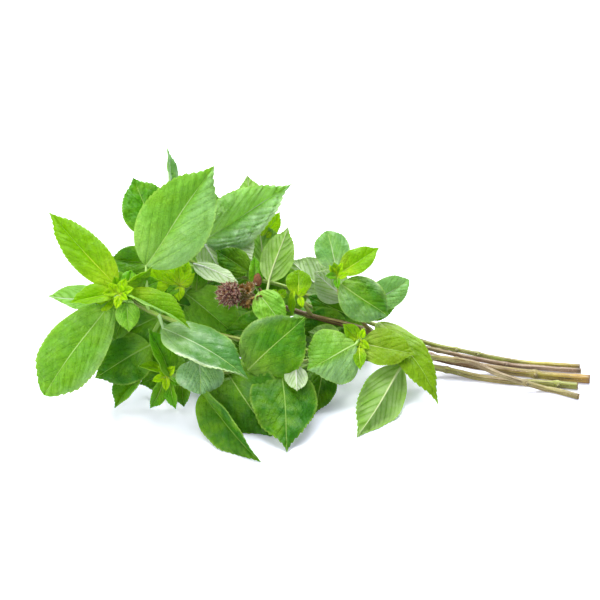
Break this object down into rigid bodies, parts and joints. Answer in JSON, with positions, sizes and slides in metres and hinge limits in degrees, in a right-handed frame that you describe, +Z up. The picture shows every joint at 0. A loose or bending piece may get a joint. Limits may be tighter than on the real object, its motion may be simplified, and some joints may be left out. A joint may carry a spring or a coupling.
{
  "type": "basil bunch",
  "caption": "Cut bunch of fresh Thai basil lying on its side: leafy green sprigs with toothed leaves, bare woody stalks at one end and a small purple flower head.",
  "frame": {"origin": "the flat spot on the underside of the left sprig's stalk, on the surface that the bunch lies on", "axes": "+X along the bare stalks towards their cut ends, +Z up from the surface, +Y to the back of the bunch"},
  "size_m": [0.2722, 0.1656, 0.1043],
  "materials": {
    "leaf": "satin",
    "stalk": "matte",
    "flower": "matte",
    "bud": "matte"
  },
  "bodies": {
    "root": {"left_stalk": "stalk", "left_sprig": "leaf", "low_stalk": "stalk", "low_sprig": "leaf", "flowering_stalk": "stalk", "flowering_sprig": "leaf", "upper_stalk": "stalk", "upper_sprig": "leaf", "back_stalk": "stalk", "back_sprig": "leaf", "flower_head": "flower", "flower_bud": "bud"}
  },
  "joints": []
}
